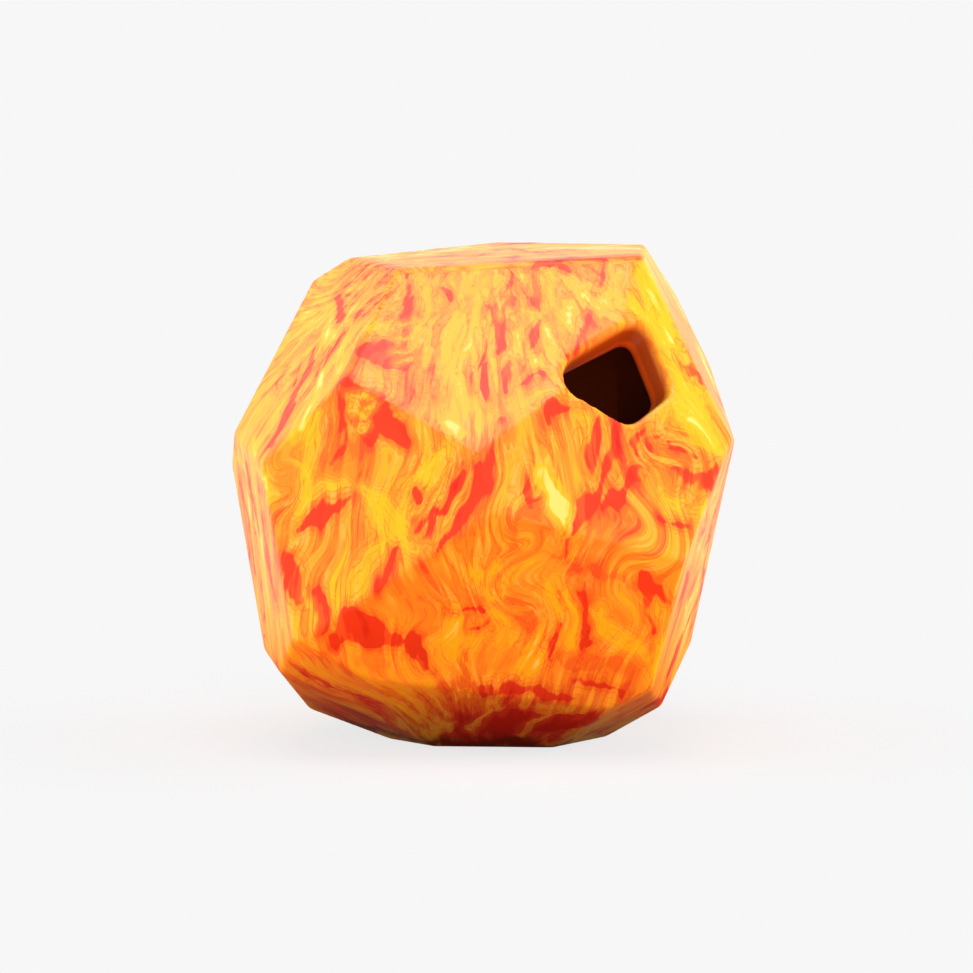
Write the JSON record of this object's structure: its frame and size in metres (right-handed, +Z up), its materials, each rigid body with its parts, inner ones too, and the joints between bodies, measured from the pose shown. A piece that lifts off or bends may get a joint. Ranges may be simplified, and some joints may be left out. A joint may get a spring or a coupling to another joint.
{
  "type": "hollow rubber chew toy",
  "caption": "Hollow chew toy in marbled rubber, shaped like a cut rock with flat facets, with a five-sided mouth for treats and a flat facet to rest on.",
  "frame": {"origin": "on the flat facet that the toy rests on, straight below the middle of the rock", "axes": "+Z up, square to the resting facet; the mouth faces -Y and upward; +X to the right seen from the mouth's side"},
  "size_m": [0.09, 0.0885, 0.0829],
  "materials": {
    "marbled_rubber": "smooth moulded natural rubber, marbled yellow, orange and red, satin gloss",
    "bond_rubber": "cured bonding rubber, trimmed and buffed flush, same marbled colour"
  },
  "bodies": {
    "root": {"mouth_shell": "marbled_rubber", "base_shell": "marbled_rubber", "bond_line": "bond_rubber"}
  },
  "joints": []
}
